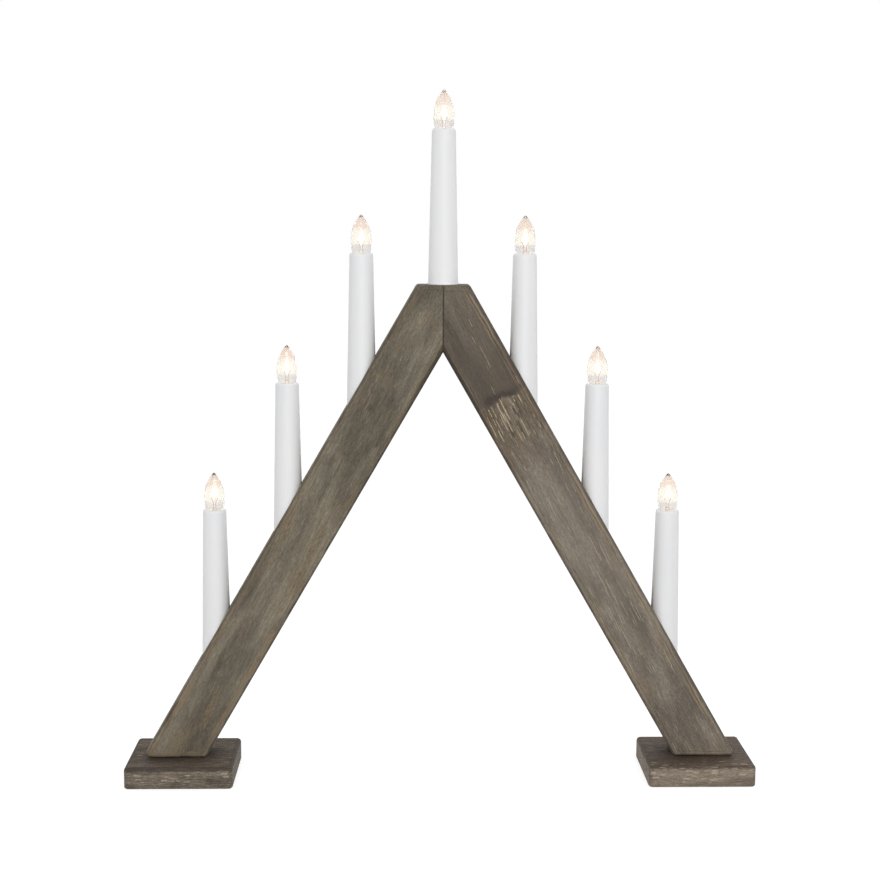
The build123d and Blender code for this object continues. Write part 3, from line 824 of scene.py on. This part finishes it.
thread_pitch = 1.814 * mm
shell_top, shell_bottom, shell_inside, shell_outside = -6.6 * mm, -19.2 * mm, 5 * mm, 5.3 * mm
heights = spread(shell_bottom, shell_top, steps=56)
rings = [(shell_outside, z) for z in heights] + [(shell_inside, z) for z in reversed(heights)]
for number, (x, rim) in candles.items():
    shell = ring_mesh(f"candle_{number}_screw_shell", rings, sides=32, axis_x=x, zero=rim, loop=True)
    follow(
        shell, rolled_thread, axis=(x, 0, rim), pitch=thread_pitch, depth=0.3 * mm,
        bottom=shell_bottom + 0.8 * mm, top=shell_top - 0.4 * mm, finish=brass,
    )
    smooth(shell, angle=50)
    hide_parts("screw_shells")
    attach(shell, "frame")


# The wiring: thin stranded wires in soft white insulation, pulled through the grooves and bores.
# They join the seven holders in series, and end at the inlet for the supply cord.

wire_insulation, tree, shader, place = fresh_material("wire insulation")
dust = noise(tree, place, (300, 300, 300), detail=3.0)
connect(tree, shader, {
    "Base Color": blend(tree, ramp(tree, dust, 0.35, 0.7), colour(226, 226, 220), colour(206, 205, 197)),
    "Roughness": ramp(tree, dust, 0.3, 0.7, 0.38, 0.52),
})
finish(nodes["wiring"], wire_insulation)


# The screws in the feet: countersunk wood screws of zinc-plated steel, two up into each plank.
# Their heads sit just below the underside of the feet.

screw_steel, tree, shader, place = fresh_material("zinc plate")
plating = noise(tree, place, (500, 500, 500), detail=4.0)
connect(tree, shader, {
    "Base Color": blend(tree, ramp(tree, plating, 0.35, 0.7), colour(198, 200, 202), colour(168, 170, 172)),
    "Metallic": 1.0,
    "Roughness": ramp(tree, plating, 0.3, 0.7, 0.25, 0.42),
})

# screws in pairs: one screw set side by side with another, and such a pair under each foot
screws_in_pairs, given, made = group(
    "screws in pairs",
    [
        ("Shape", "g", None),
        ("Pair spacing", "f", 0.012),
        ("Foot spacing", "f", 0.35),
        ("Sink", "f", 0.0005),
        ("Finish", "m", None),
    ],
    [("Shape", "g")],
    "GeometryNodeTree",
)
tree = screws_in_pairs
screws = given["Shape"]
for spacing, height in ((given["Pair spacing"], 0.0), (given["Foot spacing"], given["Sink"])):
    start, step = combine(tree, product(tree, spacing, -0.5), 0.0, height), combine(tree, spacing)
    line = add(tree, "GeometryNodeMeshLine", {"Count": 2, "Start Location": start, "Offset": step}).outputs[0]
    placed = add(tree, "GeometryNodeInstanceOnPoints", {"Points": line, "Instance": screws}).outputs[0]
    screws = add(tree, "GeometryNodeRealizeInstances", {"Geometry": placed}).outputs[0]
coated = add(tree, "GeometryNodeSetMaterial", {"Geometry": screws, "Material": given["Finish"]}).outputs[0]
connect(tree, made, {"Shape": coated})

screw_x, screw_length, screw_radius, head_radius = 177.57 * mm, 35 * mm, 1.75 * mm, 3.5 * mm
shank_top, shank_bottom, thread_start = 1.85 * mm, 33.35 * mm, 10 * mm
recess_half_length, recess_half_width, recess_depth = 1.8 * mm, 0.45 * mm, 1.9 * mm


def cross_recess(share):
    """The radius of a cross-shaped recess at each turn, at a share of its size."""
    def radius(turn):
        quarter = turn % (pi / 2)
        eighth = min(quarter, pi / 2 - quarter)
        return share * min(recess_half_length / cos(eighth), recess_half_width / max(sin(eighth), 0.01))
    return radius


head = [
    (0, recess_depth), (cross_recess(0.45), recess_depth - 0.1 * mm), (cross_recess(1), 0),
    (head_radius - 0.2 * mm, 0), (head_radius, 0.15 * mm),
]
shank = [(screw_radius, z) for z in spread(shank_top, shank_bottom, steps=105)]
point = [*in_mm((1.3, 33.9), (0.7, 34.6)), (0, screw_length)]
foot_screws = ring_mesh("foot_screws_threaded", head + shank + point, sides=48, axis_x=0, zero=0)
follow(
    foot_screws, rolled_thread, pitch=1.8 * mm, depth=0.5 * mm, bottom=thread_start,
    top=screw_length + 1 * mm, run_out=1.5 * mm, sharpness=4.0, finish=screw_steel,
)
follow(
    foot_screws, screws_in_pairs, pair_spacing=12 * mm, foot_spacing=2 * screw_x, sink=0.5 * mm,
    finish=screw_steel,
)
smooth(foot_screws, angle=35)
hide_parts("foot_screws")
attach(foot_screws, "frame")


# The bulbs' glass: a small clear envelope blown to a point, its solid tip a little darker. Its upper part
# and its neck have a painted glow in place of the lit filament's light, and it is cemented into the cap by
# its neck.

lamp_glass, tree, shader, place = fresh_material("lamp glass")
above = radius_and_height(tree)[1]
swirl = noise(tree, place, (160, 160, 60))
outline = add(tree, "ShaderNodeLayerWeight", {"Blend": 0.5}).outputs["Facing"]
# the tint of the neck, and over it those of the belly, the upper part, the point, the outline and the tip
tint = (0.94, 0.92, 0.9, 1)
for share, upper_tint in (
    (ramp(tree, above, 4 * mm, 6.5 * mm), (0.965, 0.945, 0.91, 1)),
    (ramp(tree, above, 13 * mm, 18 * mm), (0.94, 0.89, 0.84, 1)),
    (ramp(tree, above, 19 * mm, 23 * mm), (0.87, 0.83, 0.79, 1)),
    (ramp(tree, outline, 0.5, 0.95, 0.0, 0.7), (0.84, 0.81, 0.78, 1)),
    (ramp(tree, above, 22.8 * mm, 23.8 * mm, 0.0, 0.85), (0.3, 0.29, 0.27, 1)),
):
    tint = blend(tree, share, tint, upper_tint)
# painted glow: faint emission at the neck and warm emission over the upper part, in place of the filament's
# light on the glass
painted_neck_glow = blend(tree, ramp(tree, above, -0.5 * mm, 1.5 * mm), (0.03, 0.028, 0.025, 1), (0, 0, 0, 1))
upward = ramp(tree, above, 11 * mm, 18 * mm)
painted_upper_glow = blend(tree, upward, (0.05, 0.045, 0.033, 1), (0.03, 0.014, 0.006, 1))
connect(tree, shader, {
    "Base Color": tint,
    "Emission Color": blend(tree, ramp(tree, above, 4.5 * mm, 6.5 * mm), painted_neck_glow, painted_upper_glow),
    "Emission Strength": 1.0,
    "Transmission Weight": 0.9,
    "IOR": 1.47,
    "Roughness": ramp(tree, swirl, 0.3, 0.7, 0.08, 0.13),
})


def flowing(points, steps):
    """More points between the given ones, on a curve that runs smoothly through them."""
    ends = [points[0], *points, points[-1]]
    curve = []
    for before, start, end, after in zip(ends, ends[1:], ends[2:], ends[3:]):
        for step in range(steps):
            t = step / steps
            curve.append(tuple(
                s + t * ((e - b) + t * ((2 * b - 5 * s + 4 * e - a) + t * (3 * s - b - 3 * e + a))) / 2
                for b, s, e, a in zip(before, start, end, after)
            ))
    return curve + [points[-1]]


glass_wall, neck_radius, neck_bottom = 0.6 * mm, 4.3 * mm, -12.5 * mm
outside = flowing(in_mm(
    (4.3, -7.2), (4.35, -5.6), (4.78, -4.0), (5.5, -1.9), (6.15, 0.2), (6.66, 3.6), (6.9, 7.8),
    (6.66, 11.8), (6.05, 15.2), (5.1, 17.9), (3.85, 20.2), (2.45, 22.3), (1.35, 23.8), (0.75, 24.5),
    (0.35, 24.8), (0, 24.9),
), steps=4)
inside = flowing(in_mm(
    (3.7, -6.4), (4.0, -4.6), (4.9, -1.9), (5.55, 0.2), (6.06, 3.6), (6.3, 7.8), (6.06, 11.8),
    (5.42, 15.2), (4.4, 17.9), (3.1, 20.2), (1.6, 22.2), (0.6, 23.0), (0, 23.1),
), steps=3)
rings = [(neck_radius, neck_bottom), *outside, *reversed(inside), (neck_radius - glass_wall, neck_bottom)]
for number, (x, rim) in candles.items():
    glass = ring_mesh(f"bulb_{number}_glass", rings, sides=40, axis_x=x, zero=rim, loop=True)
    smooth(glass, angle=50)
    finish(glass, lamp_glass)
    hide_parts(f"bulb_glass_{number}")
    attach(glass, f"bulb_{number}")


# The bulbs' screw caps: thin brass with a rolled thread, closed over a dark glass insulator. The
# contact is a drop of solder on its tip. Cap and shell threads mesh, and a turn lifts one pitch.

solder, tree, shader, place = fresh_material("solder")
dull = noise(tree, place, (1500, 1500, 1500), detail=3.0)
connect(tree, shader, {
    "Base Color": blend(tree, dull, colour(150, 150, 152), colour(196, 196, 198)),
    "Metallic": 1.0,
    "Roughness": ramp(tree, dull, 0.3, 0.7, 0.25, 0.5),
    "Normal": bump(tree, dull, strength=0.2, depth=0.1 * mm),
})

insulator, tree, shader, place = fresh_material("dark glass insulator")
haze = noise(tree, place, (700, 700, 700))
connect(tree, shader, {
    "Base Color": blend(tree, haze, colour(30, 26, 34), colour(48, 42, 52)),
    "Roughness": ramp(tree, haze, 0.3, 0.7, 0.15, 0.3),
})

cap_radius, cap_thread_top, cap_thread_bottom, solder_top = 4.75 * mm, -6.7 * mm, -13.9 * mm, -16.43 * mm
cap_rings = [
    *in_mm((3.7, -14.5), (4.3, -14.46), (4.6, -14.32), (4.72, -14.1)),
    *[(cap_radius, z) for z in spread(cap_thread_bottom, cap_thread_top, steps=40)],
    *in_mm((4.75, -6.45), (4.66, -6.3), (4.75, -6.12), (4.75, -5.9), (4.66, -5.8), (4.42, -5.8)),
    *in_mm((4.33, -5.9), (4.33, -13.9), (3.7, -14.3)),
]
contact_rings = in_mm(
    (0, -14.25), (3.6, -14.25), (3.66, -14.4), (3.4, -15.1), (2.9, -15.85), (2.5, -16.25), (2.2, -16.4),
    (1.84, -16.42), (1.8, -16.5), (1.74, -16.75), (1.45, -16.95), (0.9, -17.07), (0, -17.1),
)
for number, (x, rim) in candles.items():
    cap = ring_mesh(f"bulb_{number}_cap", cap_rings, sides=44, axis_x=x, zero=rim, loop=True)
    follow(
        cap, rolled_thread, axis=(x, 0, rim), pitch=thread_pitch, depth=0.35 * mm, bottom=cap_thread_bottom,
        top=cap_thread_top, run_out=0.7 * mm, finish=brass,
    )
    smooth(cap, angle=50)
    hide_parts(f"bulb_cap_{number}")
    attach(cap, f"bulb_{number}")

    contact = ring_mesh(f"bulb_{number}_contact", contact_rings, sides=32, axis_x=x, zero=rim)
    smooth(contact, angle=50)
    finish(contact, insulator)
    contact.data.materials.append(solder)
    for face in contact.data.polygons:
        face.material_index = int(face.center.z < rim + solder_top)
    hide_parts(f"bulb_contact_{number}")
    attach(contact, f"bulb_base_{number}")


# The bulbs' insides: a glass stem pinched flat round two copper-clad wires, which spread at their
# tips and hold the coiled tungsten filament between them in a narrow arch. It is lit.

stem_glass, tree, shader, place = fresh_material("stem glass")
above = radius_and_height(tree)[1]
haze = noise(tree, place, (400, 400, 400))
connect(tree, shader, {
    "Base Color": blend(tree, haze, (0.93, 0.9, 0.87, 1), (0.86, 0.82, 0.79, 1)),
    "Transmission Weight": 0.8,
    # painted glow: the stem glows above its base, in place of the filament's light on it
    "Emission Color": blend(
        tree, ramp(tree, above, -2 * mm, -0.5 * mm), (0.03, 0.026, 0.023, 1), (0.22, 0.19, 0.17, 1)
    ),
    "Emission Strength": 1.0,
    "Roughness": ramp(tree, haze, 0.3, 0.7, 0.15, 0.3),
})

lead_wire, tree, shader, place = fresh_material("copper-clad wire")
oxide = noise(tree, place, (1200, 1200, 500), detail=3.0)
connect(tree, shader, {
    "Base Color": blend(tree, ramp(tree, oxide, 0.35, 0.65), colour(150, 84, 62), colour(196, 128, 98)),
    "Metallic": 1.0,
    "Roughness": ramp(tree, oxide, 0.3, 0.7, 0.3, 0.5),
})

hot_wire, tree, shader, place = fresh_material("lit filament")
heat = noise(tree, place, (500, 500, 500), detail=1.0)
connect(tree, shader, {
    "Base Color": (0.3, 0.28, 0.26, 1),
    "Emission Color": blend(tree, heat, (1.0, 0.66, 0.34, 1), (1.0, 0.82, 0.56, 1)),
    "Emission Strength": 8.0,
})

# coiled filament: a coil whose axis follows an upturned V with a rounded top
coiled_filament, given, made = group(
    "coiled filament",
    [
        ("Shape", "g", None),
        ("Axis", "v", (0, 0, 0)),
        ("Length", "f", 0.0096),
        ("Spread share", "f", 0.48),
        ("Drop share", "f", 0.877),
        ("Bend", "f", 0.0005),
        ("Turns", "f", 24.0),
        ("Coil radius", "f", 0.00028),
        ("Wire radius", "f", 0.00008),
        ("Finish", "m", None),
    ],
    [("Shape", "g")],
    "GeometryNodeTree",
)
tree = coiled_filament
coil = add(tree, "GeometryNodeCurveSpiral", {
    "Resolution": 10, "Rotations": given["Turns"], "Start Radius": given["Coil radius"],
    "End Radius": given["Coil radius"], "Height": given["Length"],
}).outputs[0]
x, y, z = separate(tree, add(tree, "GeometryNodeInputPosition").outputs[0])
from_top = math(tree, "MULTIPLY_ADD", given["Length"], -0.5, z)
bend_squared = product(tree, given["Bend"], given["Bend"])
reach = math(tree, "SQRT", math(tree, "MULTIPLY_ADD", from_top, from_top, bend_squared))
aside, drop = product(tree, from_top, given["Spread share"]), product(tree, reach, given["Drop share"], -1.0)
slope = product(tree, math(tree, "DIVIDE", from_top, reach), given["Drop share"])
across = vector(tree, "NORMALIZE", combine(tree, slope, 0.0, given["Spread share"]))
path = vector(tree, "ADD", combine(tree, aside, y, drop), given["Axis"])
on_path = vector(tree, "ADD", path, scaled(tree, across, x))
bent = add(tree, "GeometryNodeSetPosition", {"Geometry": coil, "Position": on_path}).outputs[0]
settings = {"Resolution": 5, "Radius": given["Wire radius"]}
section = add(tree, "GeometryNodeCurvePrimitiveCircle", settings).outputs[0]
settings = {"Curve": bent, "Profile Curve": section, "Fill Caps": True}
wire = add(tree, "GeometryNodeCurveToMesh", settings).outputs[0]
real = add(tree, "GeometryNodeRealizeInstances", {"Geometry": wire}).outputs[0]
coated = add(tree, "GeometryNodeSetMaterial", {"Geometry": real, "Material": given["Finish"]}).outputs[0]
connect(tree, made, {"Shape": coated})


def pinched(along_x, along_y):
    """The radius of a flattened ring at each turn."""
    return lambda turn: along_x * along_y / hypot(along_y * cos(turn), along_x * sin(turn))


stem_rings = in_mm(
    (0, -12.3), (2.9, -12.35), (3.55, -12.5), (3.65, -12.3), (3.0, -11.4), (2.2, -10.3), (1.75, -9.3),
    (1.6, -8.0),
)
stem_rings += [(pinched(width, depth), height) for width, depth, height in in_mm(
    (1.6, 1.5, -3.5), (1.7, 1.0, -1.8), (1.75, 0.8, 0.2), (1.6, 0.7, 0.9), (1.2, 0.5, 1.3), (0.6, 0.25, 1.48),
)]
stem_rings.append((0, 1.5 * mm))
lead_path = in_mm((0.8, -1.2), (0.8, 1.6), (0.8, 3.6), (0.95, 5.0), (1.6, 6.2), (2.15, 7.1), (2.3, 8.3))
filament_top, lead_radius = 12.4 * mm, 0.15 * mm
for number, (x, rim) in candles.items():
    stem = ring_mesh(f"bulb_{number}_stem", stem_rings, sides=28, axis_x=x, zero=rim)
    smooth(stem, angle=60)
    finish(stem, stem_glass)

    wires = bpy.data.curves.new("leads", "CURVE")
    wires.dimensions = "3D"
    wires.bevel_depth, wires.bevel_resolution, wires.use_fill_caps = lead_radius, 1, True
    for side in (-1, 1):
        line = wires.splines.new("NURBS")
        line.points.add(len(lead_path) - 1)
        for point, (across, height) in zip(line.points, lead_path):
            point.co = (x + side * across, 0, rim + height, 1)
        line.order_u, line.use_endpoint_u, line.resolution_u = 3, True, 3
    curves = new_object("leads", wires)
    leads = new_object(f"bulb_{number}_leads", plain_mesh(curves))
    bpy.data.objects.remove(curves)
    smooth(leads, angle=60)
    finish(leads, lead_wire)

    filament = new_object(f"bulb_{number}_filament", bpy.data.meshes.new("filament"))
    follow(filament, coiled_filament, axis=(x, 0, rim + filament_top), finish=hot_wire)
    smooth(filament, angle=60)

    for piece in (stem, leads, filament):
        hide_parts(f"bulb_stem_{number}")
        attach(piece, f"bulb_{number}")
